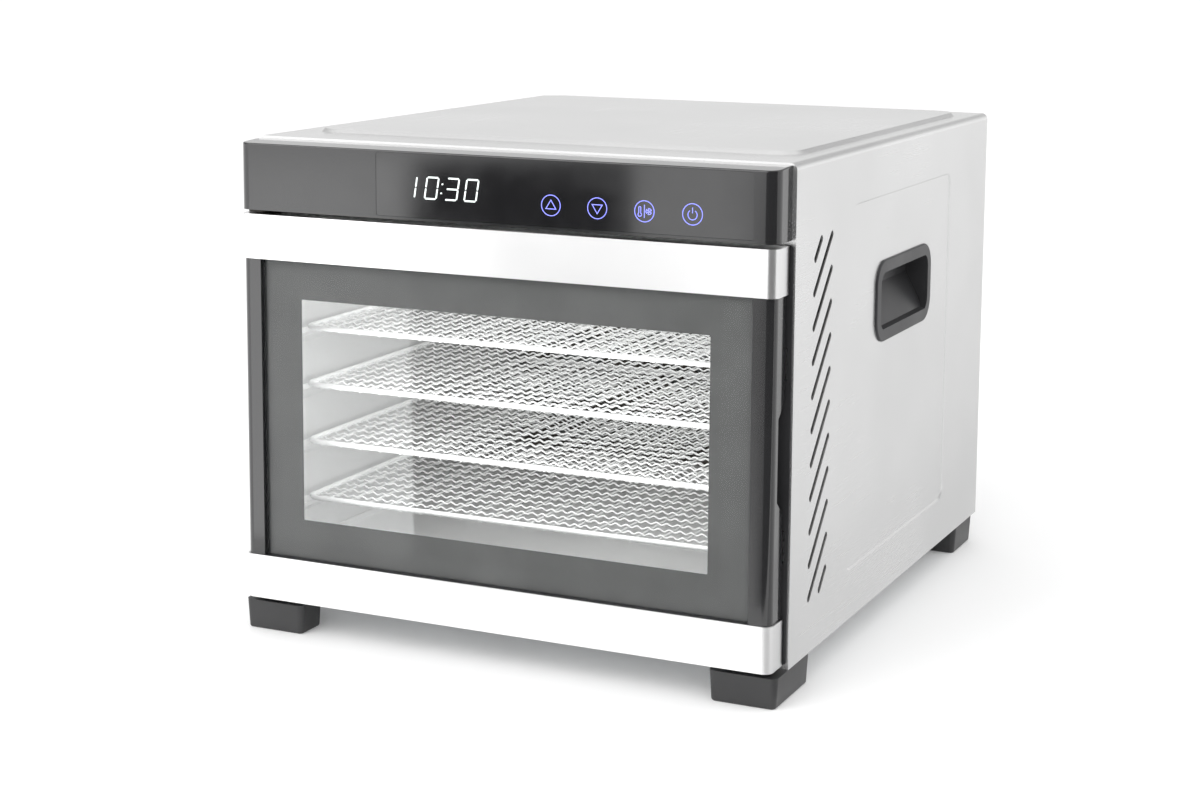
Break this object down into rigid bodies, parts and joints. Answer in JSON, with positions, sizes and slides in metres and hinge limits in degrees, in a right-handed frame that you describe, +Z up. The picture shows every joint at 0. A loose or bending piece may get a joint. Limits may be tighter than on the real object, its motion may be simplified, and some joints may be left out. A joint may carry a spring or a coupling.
{
  "type": "food dehydrator",
  "caption": "Front-loading cabinet food dehydrator: steel box on feet, hinged glass door with steel caps, sliding wire trays, touch control panel, rear fan and heater.",
  "frame": {"origin": "centre of the footprint on the surface that the feet stand on", "axes": "+X to the right seen from the front, +Y from the door to the fan housing, +Z up"},
  "size_m": [0.3464, 0.45, 0.302],
  "materials": {
    "brushed_steel": "fine satin brushing",
    "cap_steel": "bright brushed stainless",
    "liner_steel": "bright rolled stainless",
    "floor_steel": "brushed along the depth",
    "tray_wire": "polished stainless wire",
    "bright_steel": "zinc plated",
    "galvanised_sheet": "dull zinc coated sheet",
    "aluminium_sheet": "plain rolled",
    "motor_laminations": "oxidised laminations",
    "copper_winding": "enamelled copper",
    "brass": "plain turned",
    "heater_sheath": "heat blackened sheath",
    "dark_coated_sheet": "dark heat resistant coating",
    "gloss_black": "high gloss moulding",
    "display_glass": "dark polished panel",
    "black_moulding": "satin moulded",
    "dark_plastic": "plain moulded",
    "foot_rubber": "satin moulded rubber",
    "seal_rubber": "soft silicone",
    "border_print": "printed enamel",
    "circuit_board": "green solder mask",
    "clear_glass": "toughened",
    "display_light": "lit digits, emissive",
    "touch_light": "lit touch symbols, emissive"
  },
  "bodies": {
    "cabinet": {"outer_cover": "brushed_steel", "base_plate": "galvanised_sheet", "rear_panel": "galvanised_sheet", "rear_housing": "black_moulding", "front_foot_right": "foot_rubber", "front_foot_left": "foot_rubber", "rear_foot_right": "foot_rubber", "rear_foot_left": "foot_rubber", "front_frame": "black_moulding", "door_seal": "seal_rubber", "catch_plates": "bright_steel", "liner_right": "liner_steel", "liner_left": "liner_steel", "chamber_roof": "liner_steel", "chamber_floor": "floor_steel", "rear_baffle": "dark_coated_sheet", "spacers": "bright_steel", "motor_core": "motor_laminations", "motor_coil": "copper_winding", "motor_brackets": "galvanised_sheet", "motor_bearings": "brass", "heater_element": "heater_sheath", "heater_clips": "bright_steel", "thermal_cutout": "dark_plastic", "temperature_probe": "bright_steel", "power_inlet": "dark_plastic", "inlet_contacts": "brass", "control_housing": "gloss_black", "display_glass": "display_glass", "control_board": "circuit_board", "display_module": "dark_plastic", "touch_pads": "bright_steel", "power_board": "circuit_board", "handle_cup_right": "black_moulding", "handle_cup_left": "black_moulding", "hinge_brackets": "dark_coated_sheet", "hinge_pins": "bright_steel", "fasteners_foot": "bright_steel", "fasteners_rear": "bright_steel", "fasteners_inside": "bright_steel"},
    "door": {"door_top_bar": "cap_steel", "door_bottom_bar": "cap_steel", "door_rail_right": "gloss_black", "door_rail_left": "gloss_black", "door_glass": "clear_glass", "door_frame": "black_moulding", "door_magnets": "dark_plastic", "glass_border": "border_print", "hinge_bushes": "dark_plastic", "fasteners_door": "bright_steel"},
    "fan": {"impeller": "aluminium_sheet", "impeller_nut": "bright_steel", "fan_shaft": "bright_steel", "motor_rotor": "motor_laminations"},
    "tray_1_body": {"tray_1": "tray_wire"},
    "tray_2_body": {"tray_2": "tray_wire"},
    "tray_3_body": {"tray_3": "tray_wire"},
    "tray_4_body": {"tray_4": "tray_wire"},
    "tray_5_body": {"tray_5": "tray_wire"}
  },
  "joints": [
    {"name": "door_hinge", "type": "hinge", "parent": "cabinet", "child": "door", "pos_m": [-0.1655, -0.2125, 0.138], "axis": [0, 0, -1], "range_deg": [0, 110]},
    {"name": "fan_spin", "type": "hinge", "parent": "cabinet", "child": "fan", "pos_m": [0, 0.175, 0.149], "axis": [0, 1, 0], "continuous": true},
    {"name": "tray_1_slide", "type": "slide", "parent": "cabinet", "child": "tray_1_body", "axis": [0, -1, 0], "range_m": [0, 0.0751]},
    {"name": "tray_2_slide", "type": "slide", "parent": "cabinet", "child": "tray_2_body", "axis": [0, -1, 0], "range_m": [0, 0.0751]},
    {"name": "tray_3_slide", "type": "slide", "parent": "cabinet", "child": "tray_3_body", "axis": [0, -1, 0], "range_m": [0, 0.0751]},
    {"name": "tray_4_slide", "type": "slide", "parent": "cabinet", "child": "tray_4_body", "axis": [0, -1, 0], "range_m": [0, 0.0751]},
    {"name": "tray_5_slide", "type": "slide", "parent": "cabinet", "child": "tray_5_body", "axis": [0, -1, 0], "range_m": [0, 0.0751]}
  ],
  "couplings": [
    {"joint": "tray_1_slide", "follows": "door_hinge", "m_per_rad": 0.039},
    {"joint": "tray_2_slide", "follows": "door_hinge", "m_per_rad": 0.039},
    {"joint": "tray_3_slide", "follows": "door_hinge", "m_per_rad": 0.039},
    {"joint": "tray_4_slide", "follows": "door_hinge", "m_per_rad": 0.039},
    {"joint": "tray_5_slide", "follows": "door_hinge", "m_per_rad": 0.039}
  ]
}
